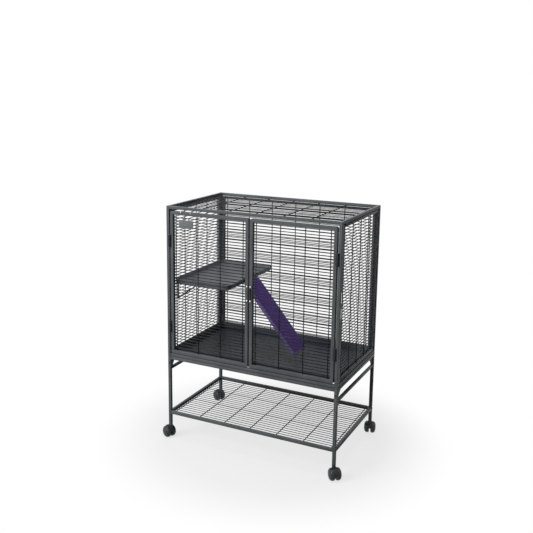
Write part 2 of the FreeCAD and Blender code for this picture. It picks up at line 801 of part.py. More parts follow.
RAMP_DROP = BEAD_Z - PAN_FLOOR
RAMP_ANGLE = math.atan2(RAMP_DROP - RAMP_FOOT_RISE, RAMP_FOOT_X - BEAD_X)
COVER_HALF = RAMP_BOARD / 2 + COVER_PAD
FOOT_DROP = RAMP_DROP - RAMP_FOOT_CLEAR - COVER_HALF * math.cos(RAMP_ANGLE)
RAMP_LENGTH = FOOT_DROP / math.sin(RAMP_ANGLE)
BOARD_SIDE = RAMP_WIDTH / 2 - COVER_EDGE - BOARD_INSET


def place_ramp(shape):
    """From the ramp's own frame, x down its length and z out of its tread, to the cage."""
    shape.rotate(Vector(0, 0, 0), Vector(0, 1, 0), math.degrees(RAMP_ANGLE))
    shape.translate(Vector(BEAD_X, RAMP_MID_Y, BEAD_Z))
    return shape


def cover_section(x, half, crown):
    """A flat-bottomed section with round sides and a crowned top."""
    side = half - COVER_EDGE
    low = [Vector(x, -side, -COVER_HALF), Vector(x, side, -COVER_HALF)]
    high = [Vector(x, side, COVER_HALF), Vector(x, -side, COVER_HALF)]
    return Part.Wire([
        Part.makeLine(low[0], low[1]),
        Part.Arc(low[1], Vector(x, half, 0), high[0]).toShape(),
        Part.Arc(high[0], Vector(x, 0, COVER_HALF + crown), high[1]).toShape(),
        Part.Arc(high[1], Vector(x, -half, 0), low[0]).toShape(),
    ])


def ramp_cover():
    """The sleeve swells and draws in towards the middle of its length."""
    sections = []
    for k in range(COVER_SECTIONS):
        part = k / (COVER_SECTIONS - 1)
        swell = math.sin(math.pi * part)
        x = COVER_START + (RAMP_LENGTH - COVER_START) * part
        crown = COVER_CROWN * (1 + swell) / 2
        sections.append(cover_section(x, RAMP_WIDTH / 2 - COVER_DRAW * swell, crown))
    sleeve = Part.makeLoft(sections, True, True)
    board = RAMP_BOARD / 2 + COVER_SLACK
    side = BOARD_SIDE + COVER_SLACK
    pocket = block(0, RAMP_LENGTH - BOARD_TAIL + POCKET_END, -side, side, -board, board)
    return place_ramp(sleeve.cut(pocket))


def ramp_board():
    return place_ramp(block(BOARD_START, RAMP_LENGTH - BOARD_TAIL, -BOARD_SIDE, BOARD_SIDE,
                            -RAMP_BOARD / 2, RAMP_BOARD / 2))


def ramp_clip(y):
    """A clip that snaps round the bead, with a strap that runs on to the board's tread side."""
    inner = BEAD_R + CLIP_PLAY
    outer = inner + CLIP_WALL

    def at(radius, degrees):
        angle = math.radians(degrees)
        return Vector(radius * math.cos(angle), y - CLIP_LENGTH / 2, radius * math.sin(angle))

    start, end = CLIP_START, CLIP_START + CLIP_TURN
    middle = (start + end) / 2
    outline = Part.Wire([
        Part.Arc(at(outer, start), at(outer, middle), at(outer, end)).toShape(),
        Part.makeLine(at(outer, end), at(inner, end)),
        Part.Arc(at(inner, end), at(inner, middle), at(inner, start)).toShape(),
        Part.makeLine(at(inner, start), at(outer, start)),
    ])
    ring = Part.Face(outline).extrude(Vector(0, CLIP_LENGTH, 0))
    y0, y1 = y - CLIP_LENGTH / 2, y + CLIP_LENGTH / 2
    face = RAMP_BOARD / 2
    strap = block(inner, COVER_START - CLIP_STRAP_END, y0, y1, face, face + CLIP_STRAP)
    return place_ramp(ring.fuse(strap).removeSplitter())


export("ramp_board", [ramp_board()])
export("ramp_hooks", [ramp_clip(-CLIP_SPAN / 2), ramp_clip(CLIP_SPAN / 2)])
export("ramp_cover", [ramp_cover()])


# Casters: a hooded body on a stem, an axle and two wheels, in the caster's own frame

SOCKET_LOW = LEG_FOOT - SOCKET_FLANGE
BODY_TOP = SOCKET_LOW - SOCKET_CLEAR
WHEEL_INNER = WEB_HALF + WHEEL_PLAY
WHEEL_OUTER = WHEEL_INNER + WHEEL_WIDTH


def arc_points(radius, start, end, steps, y):
    """Even points on an arc about the axle, in degrees from the trailing side upward."""
    points = []
    for k in range(steps + 1):
        angle = math.radians(start + (end - start) * k / steps)
        points.append((TRAIL + radius * math.cos(angle), y, WHEEL_R + radius * math.sin(angle)))
    return points


def disc(radius, y0, y1, sides=WHEEL_SIDES):
    """A round form about the axle, with a flat that can lie on the floor."""
    return flats((TRAIL, y0, WHEEL_R), 1, y1 - y0, radius, sides)


def rim_edges(shape, y):
    """The edges of a disc's end face."""
    return [e for e in shape.Edges if all(abs(v.Y - y) < EDGE_MATCH for v in e.Vertexes)]


def caster_body():
    """Trailing along +X from the stem at the origin, with the axle along Y."""
    outside = arc_points(HOOD_R, HOOD_LOW, HOOD_HIGH, HOOD_STEPS, -HOOD_HALF)
    inside = arc_points(HOOD_R - HOOD_WALL, HOOD_HIGH, HOOD_LOW, HOOD_STEPS, -HOOD_HALF)
    hood = prism(outside + inside, (0, 2 * HOOD_HALF, 0))
    rim = arc_points(HOOD_R - HOOD_WALL / 2, HOOD_LOW, HOOD_HIGH, HOOD_STEPS, -WEB_HALF)
    foot = arc_points(WEB_FOOT, HOOD_HIGH, HOOD_LOW + 360.0, WEB_STEPS, -WEB_HALF)
    web = prism(rim + foot, (0, 2 * WEB_HALF, 0))
    boss_low = WHEEL_R + BOSS_LOW
    boss = flats((0, 0, boss_low), 2, BODY_TOP - boss_low, BOSS_R, BOSS_SIDES)
    room = disc(HOOD_R - HOOD_WALL, -WHEEL_OUTER, WHEEL_OUTER)
    stem = rod((0, 0, BODY_TOP), STEM_R, (0, 0, 1), STEM_LENGTH)
    bore = rod((TRAIL, -WEB_HALF, WHEEL_R), AXLE_R + PIN_SEAT, (0, 1, 0), 2 * WEB_HALF)
    return hood.fuse(web).fuse(boss.cut(room)).fuse(stem).cut(bore).removeSplitter()


def caster_axle():
    reach = WHEEL_OUTER - AXLE_INSET
    return rod((TRAIL, -reach, WHEEL_R), AXLE_R, (0, 1, 0), 2 * reach)


def caster_wheel(side):
    """A wheel that domes outward, with a blind bore for the axle."""
    inner, outer = side * WHEEL_INNER, side * WHEEL_OUTER
    wheel = disc(WHEEL_R, inner, outer)
    wheel = wheel.makeChamfer(WHEEL_SHOULDER, rim_edges(wheel, outer))
    wheel = wheel.makeChamfer(WHEEL_SOFTENING, rim_edges(wheel, outer - side * WHEEL_SHOULDER))
    depth = WHEEL_WIDTH - AXLE_INSET + WHEEL_PLAY
    bore = rod((TRAIL, inner, WHEEL_R), AXLE_R + AXLE_RUN, (0, side, 0), depth)
    return wheel.cut(bore)


def place_caster(shape, x, y, turn):
    shape.rotate(Vector(0, 0, 0), Vector(0, 0, 1), turn)
    shape.translate(Vector(x, y, 0))
    return shape


def caster_socket(x, y):
    """A plug that fills the leg's foot, with a flange under it and a bore for the stem."""
    half, flange = SOCKET_SIDE / 2, TUBE / 2
    plug = block(x - half, x + half, y - half, y + half, LEG_FOOT, LEG_FOOT + SOCKET_DEPTH)
    foot = block(x - flange, x + flange, y - flange, y + flange, SOCKET_LOW, LEG_FOOT)
    bore = rod((x, y, SOCKET_LOW), STEM_R + AXLE_RUN, (0, 0, 1), SOCKET_FLANGE + SOCKET_DEPTH - SOCKET_ROOF)
    return plug.fuse(foot).cut(bore).removeSplitter()


sockets = []
for name, (side, end, turn) in CASTERS.items():
    spot = (side * X_POST, end * Y_POST)
    sockets.append(caster_socket(*spot))
    export("caster_" + name + "_body", [place_caster(caster_body(), *spot, turn)])
    export("caster_" + name + "_axle", [place_caster(caster_axle(), *spot, turn)])
    for letter, way in (("a", -1), ("b", 1)):
        export("caster_" + name + "_wheel_" + letter, [place_caster(caster_wheel(way), *spot, turn)])
export("caster_sockets", sockets)

print(len(nodes), "nodes")
print("ramp", round(math.degrees(RAMP_ANGLE), 3), "degrees,", round(RAMP_LENGTH, 2), "long")
print("bead", BEAD_X, BEAD_Z, "hinge", HINGE_X, round(HINGE_Y, 3), "pan floor", PAN_FLOOR)
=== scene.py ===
# %% [markdown]
# # Dressing a small animal cage
# The cage arrives as a frame of exact CAD pieces that already fit and move. This lesson gives it its looks:
# round wire, powder coat, moulded plastic, a padded ramp and soft studio light. Every new piece rides on one
# of the frame's moving bodies, so the doors, the latch, the ramp and the casters still move.

import json
import math

import bmesh
import bpy
from mathutils import Matrix, Vector
from mathutils.bvhtree import BVHTree

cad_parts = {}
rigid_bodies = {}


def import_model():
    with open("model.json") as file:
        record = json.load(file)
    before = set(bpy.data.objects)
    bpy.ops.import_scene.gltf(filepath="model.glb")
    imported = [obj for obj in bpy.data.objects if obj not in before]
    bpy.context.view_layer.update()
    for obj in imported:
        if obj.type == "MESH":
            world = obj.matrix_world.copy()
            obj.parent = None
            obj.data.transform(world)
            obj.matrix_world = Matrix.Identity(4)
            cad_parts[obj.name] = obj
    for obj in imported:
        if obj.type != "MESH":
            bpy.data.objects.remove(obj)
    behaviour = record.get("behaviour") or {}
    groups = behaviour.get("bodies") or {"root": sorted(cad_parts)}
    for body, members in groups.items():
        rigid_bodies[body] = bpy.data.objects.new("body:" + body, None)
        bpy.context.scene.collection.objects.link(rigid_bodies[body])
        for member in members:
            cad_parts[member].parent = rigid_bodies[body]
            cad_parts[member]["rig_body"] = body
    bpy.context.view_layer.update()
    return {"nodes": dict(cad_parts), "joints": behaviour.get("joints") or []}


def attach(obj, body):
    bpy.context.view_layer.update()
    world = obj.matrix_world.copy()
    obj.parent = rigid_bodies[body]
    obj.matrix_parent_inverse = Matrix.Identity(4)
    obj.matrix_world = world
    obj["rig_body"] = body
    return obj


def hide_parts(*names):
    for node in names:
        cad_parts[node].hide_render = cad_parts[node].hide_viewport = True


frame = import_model()
nodes = frame["nodes"]
joints = {joint["name"]: joint for joint in frame["joints"]}

# %% [markdown]
# ## The camera
# The picture was taken from the right, a little above the cage's roof. The place, the tilt and the focal
# length come from matching the corners of the frame, so that edges can be compared with the picture. Fitting
# is surer than turning the camera by eye, though a few corners still differ by some pixels.

# %% Camera
PICTURE = 533
FOCAL_PIXELS = 763.2
MIDDLE = (242.91, 231.995)
SENSOR = 36.0
CAMERA_AT = (1.31224, -2.82026, 1.50680)
YAW, PITCH, ROLL = 0.477, 0.1917, 0.0072

scene = bpy.context.scene
lens = bpy.data.cameras.new("camera")
lens.sensor_width = SENSOR
lens.lens = FOCAL_PIXELS / PICTURE * SENSOR
lens.shift_x = 0.5 - MIDDLE[0] / PICTURE
lens.shift_y = MIDDLE[1] / PICTURE - 0.5
camera = bpy.data.objects.new("camera", lens)
tilt = Matrix.Rotation(YAW, 4, "Z") @ Matrix.Rotation(math.pi / 2 - PITCH, 4, "X")
camera.matrix_world = Matrix.Translation(CAMERA_AT) @ tilt @ Matrix.Rotation(ROLL, 4, "Z")
scene.collection.objects.link(camera)
scene.camera = camera
print("lens", round(lens.lens, 2), "mm")

# %% [markdown]
# ## Writing shaders as formulas
# A finish is easier to read as a formula than as a net of boxes. This small class wraps a shader socket, so
# that plus and times add the node they stand for, and one method adds every other kind of node.

# %% Shader sockets with arithmetic
class Link:
    """One output of a shader node, ready for use in a formula."""

    def __init__(self, tree, socket=None):
        self.tree = tree
        self.socket = socket

    def node(self, kind, settings, sockets, output=0):
        """Adds a node: its settings first, then the values or links of its sockets."""
        added = self.tree.nodes.new("ShaderNode" + kind)
        for key, value in settings.items():
            setattr(added, key, value)
        for key, value in sockets.items():
            if isinstance(value, Link):
                self.tree.links.new(value.socket, added.inputs[key])
            else:
                added.inputs[key].default_value = value
        return Link(self.tree, added.outputs[output])

    def math(self, operation, *values):
        return self.node("Math", {"operation": operation}, dict(enumerate(values)))

    def __add__(self, other):
        return self.math("ADD", self, other)

    def __mul__(self, other):
        return self.math("MULTIPLY", self, other)

    __radd__ = __add__
    __rmul__ = __mul__

    def ramp(self, low, high):
        """Rises smoothly from 0 at low to 1 at high."""
        return self.node("MapRange", {"interpolation_type": "SMOOTHSTEP"},
                         {"Value": self, "From Min": low, "From Max": high})

    def place(self, stretch=(1.0, 1.0, 1.0)):
        """The piece's own coordinates in metres, so a finish moves with its piece."""
        here = self.node("TexCoord", {}, {}, "Object")
        return self.node("VectorMath", {"operation": "MULTIPLY"}, {0: here, 1: stretch})

    def noise(self, scale, detail=2.0, stretch=(1.0, 1.0, 1.0)):
        return self.node("TexNoise", {}, {"Vector": self.place(stretch), "Scale": scale, "Detail": detail})

    def blend(self, share, first, second):
        """From one colour to another."""
        return self.node("Mix", {"data_type": "RGBA"}, {0: share, 6: first, 7: second}, 2)

    def bump(self, height, strength, distance):
        return self.node("Bump", {}, {"Height": height, "Strength": strength, "Distance": distance})


# %% From a recipe to a material
finishes = {}


def finish(name, recipe):
    """Makes a material from a recipe that names the shader's sockets."""
    made = bpy.data.materials.new(name)
    made.use_nodes = True
    tree = made.node_tree
    shader = tree.nodes["Principled BSDF"]
    for key, value in recipe(Link(tree)).items():
        if isinstance(value, Link):
            tree.links.new(value.socket, shader.inputs[key])
        else:
            shader.inputs[key].default_value = value
    finishes[name] = made
    print("finish", name, "with", len(tree.nodes), "nodes")


# %% [markdown]
# ## Powder coat
# The tubes and wires are sprayed with charcoal powder and baked. The film is satin, has a fine orange peel
# and gets a little greyer where hands and bedding rub it. A picture of paint could be wrapped round the
# tubes, but noise in the piece's own metres needs no wrapping and moves with the doors.

# %% Powder coat on tubes and on wire
def powder_coat(make):
    peel = make.noise(1100.0, 1.0)
    cloud = make.noise(9.0, 3.0)
    rub = make.noise(45.0, 4.0).ramp(0.56, 0.74)
    tone = make.blend(cloud.ramp(0.3, 0.7), (0.152, 0.156, 0.170, 1.0), (0.196, 0.200, 0.217, 1.0))
    return {
        "Base Color": make.blend(rub * 0.2, tone, (0.300, 0.305, 0.320, 1.0)),
        "Roughness": 0.34 + peel * 0.10 + rub * 0.12,
        "Specular IOR Level": 0.07,
        "Normal": make.bump(peel, 0.22, 0.0002),
    }


def wire_coat(make):
    peel = make.noise(1500.0, 1.0)
    rub = make.noise(60.0, 3.0).ramp(0.52, 0.72)
    return {
        "Base Color": make.blend(rub * 0.4, (0.045, 0.045, 0.052, 1.0), (0.130, 0.134, 0.142, 1.0)),
        "Roughness": 0.34 + peel * 0.10,
        "Specular IOR Level": 0.1,
        "Normal": make.bump(peel, 0.15, 0.0001),
    }


finish("powder_coat", powder_coat)
finish("wire_coat", wire_coat)

# %% [markdown]
# ## Moulded plastics
# The pan and the half shelf are pulled from sheet with a leathery grain, which paws and scoops scratch. Both
# are one plastic and share one recipe, but the shelf gets a much lighter copy of the shades as painted top
# light, since it stands higher and catches more light. The casters are nylon, so they stay dark and pick up
# dust, and their treads get scuffed.

# %% Pan and half shelf
def moulded(low, high, worn):
    """A grained moulding between two shades, with scratches in a third."""
    def recipe(make):
        grain = make.noise(650.0, 2.0)
        cloud = make.noise(7.0, 2.0)
        scratch = make.noise(38.0, 2.0, (1.0, 14.0, 1.0)).ramp(0.60, 0.66)
        return {
            "Base Color": make.blend(scratch * 0.25, make.blend(cloud.ramp(0.3, 0.7), low, high), worn),
            "Roughness": 0.38 + grain * 0.16 + scratch * 0.1,
            "Specular IOR Level": 0.2,
            "Normal": make.bump(grain, 0.30, 0.0003),
        }
    return recipe


finish("pan_plastic", moulded(
    (0.034, 0.042, 0.054, 1.0), (0.048, 0.058, 0.072, 1.0), (0.105, 0.118, 0.136, 1.0)))
# The half shelf is the pan's plastic made much lighter, as painted top light.
finish("shelf_plastic_painted_lit", moulded(
    (0.215, 0.224, 0.246, 1.0), (0.256, 0.267, 0.290, 1.0), (0.395, 0.410, 0.438, 1.0)))

# %% Casters and ramp board
def caster_plastic(make):
    grain = make.noise(800.0, 2.0)
    dust = make.noise(70.0, 3.0).ramp(0.5, 0.75)
    return {
        "Base Color": make.blend(dust * 0.3, (0.016, 0.016, 0.019, 1.0), (0.065, 0.068, 0.072, 1.0)),
        "Roughness": 0.30 + grain * 0.16 + dust * 0.15,
        "Specular IOR Level": 0.3,
        "Normal": make.bump(grain, 0.12, 0.0002),
    }


def wheel_plastic(make):
    grain = make.noise(700.0, 2.0)
    scuff = make.noise(160.0, 4.0).ramp(0.48, 0.70)
    return {
        "Base Color": make.blend(scuff * 0.35, (0.026, 0.030, 0.036, 1.0), (0.095, 0.101, 0.112, 1.0)),
        "Roughness": 0.30 + scuff * 0.25,
        "Specular IOR Level": 0.35,
        "Normal": make.bump(grain + scuff * 0.5, 0.15, 0.0002),
    }


def ramp_plastic(make):
    grain = make.noise(600.0, 2.0)
    return {
        "Base Color": make.blend(grain.ramp(0.3, 0.7),
                                 (0.048, 0.048, 0.055, 1.0), (0.070, 0.070, 0.078, 1.0)),
        "Roughness": 0.40 + grain * 0.15,
        "Specular IOR Level": 0.3,
        "Normal": make.bump(grain, 0.2, 0.0003),
    }


finish("caster_plastic", caster_plastic)
finish("wheel_plastic", wheel_plastic)
finish("ramp_plastic", ramp_plastic)

# %% [markdown]
# ## Small metal parts
# Screws, spring strips and hangers are zinc plated and keep faint brush marks. The latch and the hinges are
# black coated steel, and the name plate is a plain grey plate with the sheen of rolled metal. Noise that is
# stretched along one axis makes the brush marks, which is simpler than drawing each line.

# %% Zinc, black steel and the name plate
def zinc(make):
    brush = make.noise(900.0, 2.0, (1.0, 1.0, 0.08))
    spangle = make.noise(220.0, 1.0)
    return {
        "Base Color": make.blend(spangle.ramp(0.35, 0.65), (0.76, 0.77, 0.78, 1.0), (0.90, 0.90, 0.89, 1.0)),
        "Metallic": 0.8,
        "Roughness": 0.30 + brush * 0.14,
        "Normal": make.bump(brush, 0.08, 0.0001),
    }


def latch_steel(make):
    peel = make.noise(1300.0, 1.0)
    rub = make.noise(90.0, 3.0).ramp(0.58, 0.72)
    return {
        "Base Color": make.blend(rub * 0.3, (0.032, 0.032, 0.036, 1.0), (0.170, 0.170, 0.178, 1.0)),
        "Roughness": 0.42 + peel * 0.12,
        "Specular IOR Level": 0.3,
        "Normal": make.bump(peel, 0.2, 0.0002),
    }


def tag(make):
    brush = make.noise(500.0, 2.0, (0.06, 1.0, 1.0))
    return {
        "Base Color": make.blend(brush.ramp(0.3, 0.7),
                                 (0.178, 0.183, 0.193, 1.0), (0.240, 0.245, 0.256, 1.0)),
        "Metallic": 0.1,
        "Roughness": 0.45 + brush * 0.15,
        "Normal": make.bump(brush, 0.1, 0.0001),
    }


finish("zinc", zinc)
finish("latch_steel", latch_steel)
finish("tag", tag)

# %% [markdown]
# ## Ramp cloth
# The ramp wears a purple fleece sleeve, so small feet find a hold. Short brushed fibres give it a soft nap,
# and a lighter woven tape binds its edges. Hair could make the nap, but it is heavy to draw, and from a step
# away two sizes of noise in the colour and the bump are enough.

# %% Fleece and binding tape
def ramp_cloth(make):
    nap = make.noise(1400.0, 3.0)
    tuft = make.noise(240.0, 2.0)
    shade = (0.55 * nap + 0.45 * tuft).ramp(0.32, 0.68)
    return {
        "Base Color": make.blend(shade, (0.130, 0.060, 0.340, 1.0), (0.305, 0.155, 0.690, 1.0)),
        "Roughness": 0.85 + nap * 0.1,
        "Specular IOR Level": 0.15,
        "Normal": make.bump(nap * 0.6 + tuft, 0.8, 0.0008),
    }


def ramp_tape(make):
    rib = make.node("TexWave", {"wave_type": "BANDS", "bands_direction": "X"},
                    {"Vector": make.place(), "Scale": 300.0, "Distortion": 0.6})
    fibre = make.noise(1800.0, 2.0)
    return {
        "Base Color": make.blend(rib * 0.6 + fibre * 0.4,
                                 (0.270, 0.195, 0.560, 1.0), (0.440, 0.345, 0.800, 1.0)),
        "Roughness": 0.72 + fibre * 0.15,
        "Specular IOR Level": 0.2,
        "Normal": make.bump(rib, 0.4, 0.0003),
    }


finish("ramp_cloth", ramp_cloth)
finish("ramp_tape", ramp_tape)

# %% [markdown]
# ## Softened tubes and mouldings
# Real tube has rounded corners, and mouldings have no knife edges. A weld joins the CAD faces, a bevel rounds
# every sharp edge, and a last step shades the rounding smoothly. Modifiers do all three, because they leave
# the CAD piece itself as it is.

# %% Smooth shading with sharp edges kept
SMOOTH_BELOW = math.radians(38.0)


def smoothing():
    """Shades faces smoothly, except across edges that stay sharp."""
    group = bpy.data.node_groups.new("smooth shading", "GeometryNodeTree")
    for way in ("INPUT", "OUTPUT"):
        group.interface.new_socket("Geometry", in_out=way, socket_type="NodeSocketGeometry")
    kinds = ("NodeGroupInput", "GeometryNodeRemoveAttribute", "GeometryNodeSetShadeSmooth",
             "GeometryNodeSetShadeSmooth", "NodeGroupOutput")
    chain = [group.nodes.new(kind) for kind in kinds]
    for before, after in zip(chain, chain[1:]):
        group.links.new(before.outputs["Geometry"], after.inputs["Geometry"])
    chain[1].inputs["Name"].default_value = "custom_normal"
    chain[3].domain = "EDGE"
    chain[3].inputs["Shade Smooth"].default_value = False
    bend = group.nodes.new("GeometryNodeInputMeshEdgeAngle")
    sharp = group.nodes.new("FunctionNodeCompare")
    sharp.inputs["B"].default_value = SMOOTH_BELOW
    group.links.new(bend.outputs["Unsigned Angle"], sharp.inputs["A"])
    group.links.new(sharp.outputs["Result"], chain[3].inputs["Selection"])
    return group


shading = smoothing()
print(shading.name, "with", len(shading.nodes), "nodes")

# %% Round the edges of the CAD pieces
MERGE = 0.00001
BEVEL_ABOVE = math.radians(25.0)
BEVEL_STEPS = 3
TUBE_ROUND, SMALL_ROUND = 0.0012, 0.0005
# The half shelf gets a copy of the pan's plastic made lighter, as painted top light.
OWN_LOOK = {"half_shelf": "shelf_plastic_painted_lit"}


def dress(name, width):
    """Gives a CAD piece its finish and rounded, smoothly shaded edges."""
    node = nodes[name]
    node.data.materials[0] = finishes[OWN_LOOK.get(name, node.data.materials[0].name)]
    node.modifiers.new("joined faces", "WELD").merge_threshold = MERGE
    bevel = node.modifiers.new("rounded edges", "BEVEL")
    bevel.limit_method = "ANGLE"
    bevel.angle_limit = BEVEL_ABOVE
    bevel.width = width
    bevel.segments = BEVEL_STEPS
    node.modifiers.new("smooth shading", "NODES").node_group = shading


modelled = ("_mesh", "floor_grid", "_wheel_a", "_wheel_b", "_body", "_screws", "frame_bolts", "ramp_cover")
as_built = [name for name in nodes if not name.endswith(modelled)]
for name in as_built:
    dress(name, TUBE_ROUND if name.endswith(("frame", "rail", "rails")) else SMALL_ROUND)
print(len(as_built), "CAD pieces keep their shape")

# %% [markdown]
# ## Round welded wire
# The CAD frame carries each bare wire as a square bar. Here every bar becomes a round wire with its coat on,
# and with the small squashed nugget that spot welding leaves wherever a fine wire crosses a stay. The bars
# are read from the frame, so each wire lies where the frame has it.

# %% From geometry to a riding piece
def place(name, data, look, body, at=None):
    """Puts a mesh into the scene as a piece that rides on a body."""
    piece = bpy.data.objects.new(name, data)
    if not data.materials:
        data.materials.append(finishes[look])
    if at:
        piece.matrix_world = at
    scene.collection.objects.link(piece)
    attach(piece, body)
    return piece


def mesh_of(name, work):
    """Closes a bmesh into smooth mesh data."""
    bmesh.ops.recalc_face_normals(work, faces=work.faces)
    for face in work.faces:
        face.smooth = True
    data = bpy.data.meshes.new(name)
    work.to_mesh(data)
    work.free()
    return data


def bars(name):
    """The low and high corner of each separate bar in a CAD piece."""
    soup = bmesh.new()
    soup.from_mesh(nodes[name].data)
    bmesh.ops.remove_doubles(soup, verts=soup.verts, dist=MERGE / 10)
    left = set(soup.verts)
    found = []
    for first in soup.verts:
        if first not in left:
            continue
        island, edge = set(), {first}
        while edge:
            island |= edge
            edge = {e.other_vert(v) for v in edge for e in v.link_edges} - island
        left -= island
        spots = [v.co for v in island]
        found.append((Vector([min(s[k] for s in spots) for k in range(3)]),
                      Vector([max(s[k] for s in spots) for k in range(3)])))
    soup.free()
    return found


# %% Wires and weld nuggets
WIRE_SIDES = 10
COAT = 0.00018
NUGGET, NUGGET_FLAT = 0.0021, 0.0009
AXES = [Vector((1, 0, 0)), Vector((0, 1, 0)), Vector((0, 0, 1))]


def aimed(axis, way=1):
    """Turns local Z on to a main axis."""
    return AXES[2].rotation_difference(AXES[axis] * way).to_matrix().to_4x4()


def wire_run(work, low, high):
    """Lays one round wire and returns the axis that it runs along."""
    size = high - low
    run = max(range(3), key=lambda k: size[k])
    radius = min(size) / 2 + COAT
    bmesh.ops.create_cone(work, cap_ends=True, segments=WIRE_SIDES, radius1=radius, radius2=radius,
                          depth=size[run], matrix=Matrix.Translation((low + high) / 2) @ aimed(run))
    return run


def round_wires(node):
    """Round wires with weld nuggets in place of a node's square bars."""
    work = bmesh.new()
    groups = {}
    for low, high in bars(node):
        groups.setdefault(wire_run(work, low, high), []).append((low, high))
    (run_a, wires_a), (run_b, wires_b) = sorted(groups.items())
    normal = 3 - run_a - run_b
    flat = [NUGGET] * 3
    flat[normal] = NUGGET_FLAT
    squash = Matrix.Diagonal((*flat, 1.0))
    for low_a, high_a in wires_a:
        for low_b, high_b in wires_b:
            at = (low_a + high_a) / 2
            at[run_a] = (low_b[run_a] + high_b[run_a]) / 2
            at[normal] = (min(high_a[normal], high_b[normal]) + max(low_a[normal], low_b[normal])) / 2
            bmesh.ops.create_icosphere(work, subdivisions=1, radius=1.0,
                                       matrix=Matrix.Translation(at) @ squash)
    name = node.replace("_mesh", "_wires").replace("_grid", "_wires")
    piece = place(name, mesh_of(name, work), "wire_coat", nodes[node]["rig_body"])
    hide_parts(node)
    print(name, len(wires_a) + len(wires_b), "wires", len(wires_a) * len(wires_b), "welds")


for node in list(nodes):
    if node.endswith(("_mesh", "floor_grid")):
        round_wires(node)

# %% [markdown]
# ## Screw heads
# The stand is bolted together, and the latch plates are screwed on. Each CAD stub becomes a button head with
# a socket in its middle. Spinning one profile makes them all, like a small part on a lathe.

# %% Turned heads in place of the stubs
TURN_STEPS = 40
HEAD_PROFILE = (
    (0.0, 0.45), (0.30, 0.45), (0.34, 0.92), (0.50, 1.0), (0.78, 0.82), (0.94, 0.50), (1.0, 0.15), (1.0, 0.0))


def turned(work, profile, at, steps=TURN_STEPS):
    """Spins a profile of (radius, height) points about the local Z axis of a place."""
    rings = []
    for radius, height in profile:
        ring = []
        for k in range(steps if radius > 0 else 1):
            angle = 2 * math.pi * k / steps
            spot = Vector((radius * math.cos(angle), radius * math.sin(angle), height))
            ring.append(work.verts.new(at @ spot))
        rings.append(ring)
    for low, high in zip(rings, rings[1:]):
        for k in range(steps):
            near = [ring[k % len(ring)] for ring in (low, high)]
            next_on = [ring[(k + 1) % len(ring)] for ring in (low, high)]
            work.faces.new(list(dict.fromkeys((near[0], *next_on, near[1]))))
    return rings


for node, look in (("frame_bolts", "latch_steel"), ("latch_screws", "zinc"), ("keeper_screws", "zinc")):
    work = bmesh.new()
    stubs = bars(node)
    for low, high in stubs:
        size, middle = high - low, (low + high) / 2
        axis = min(range(3), key=lambda k: size[k])
        way = math.copysign(1, middle[axis])
        seat = middle - AXES[axis] * way * size[axis] / 2
        radius = sorted(size)[1] / 2
        scale = Matrix.Diagonal((radius, radius, size[axis], 1.0))
        turned(work, HEAD_PROFILE, Matrix.Translation(seat) @ aimed(axis, way) @ scale)
    name = node + "_heads"
    piece = place(name, mesh_of(name, work), look, nodes[node]["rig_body"])
    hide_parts(node)
    print(name, len(stubs))

# %% [markdown]
# ## Casters
# Each caster is a narrow moulded hood on a stem between two domed wheels, so that it looks like a ball. The
# wheel is turned from one profile: flat inside, a round shoulder, a tread and a full dome with a ring groove.
# All four casters share the meshes, and only their places differ.

# %% The caster's own frame
MILLIMETRE = Matrix.Scale(0.001, 4)
stem = Vector(joints["caster_front_left_swivel"]["pos_m"])
axle = Vector(joints["caster_front_left_roll_a"]["pos_m"])
TRAIL, WHEEL_R = (axle - stem).xy.length, axle.z
axle_mid = Matrix.Translation((TRAIL, 0, WHEEL_R))


def on_axle(radius, angle, y):
    """A point round the axle, with the angle up from the trailing side."""
    return Vector((TRAIL + radius * math.cos(angle), y, WHEEL_R + radius * math.sin(angle)))


def arc(start, end, steps):
    """Even steps from one angle to another, with both ends."""
    return [start + (end - start) * k / steps for k in range(steps + 1)]


print("wheels of", round(WHEEL_R * 1000, 1), "mm radius trail", round(TRAIL * 1000, 1), "mm behind the stem")

# %% The hood, its web and its stem
HOOD_SECTION = (
    (-7.5, 26.1), (-7.2, 26.9), (-5.5, 27.4), (0.0, 27.6), (5.5, 27.4), (7.2, 26.9), (7.5, 26.1),
    (7.0, 25.75), (-7.0, 25.75))
HOOD_ARC = (math.radians(-2.0), math.radians(167.0))
HOOD_STEPS = 36
HOOD_SKIN = 0.0266
BOSS_PROFILE = (
    (7.4, 42.0), (7.6, 51.0), (7.6, 53.0), (7.0, 54.3), (6.2, 54.6), (3.8, 54.6),
    (3.8, 87.0), (3.0, 88.6), (0.0, 88.6))
WEB_HALF, WEB_FOOT, WEB_RIM = 0.0028, 0.009, 0.0262


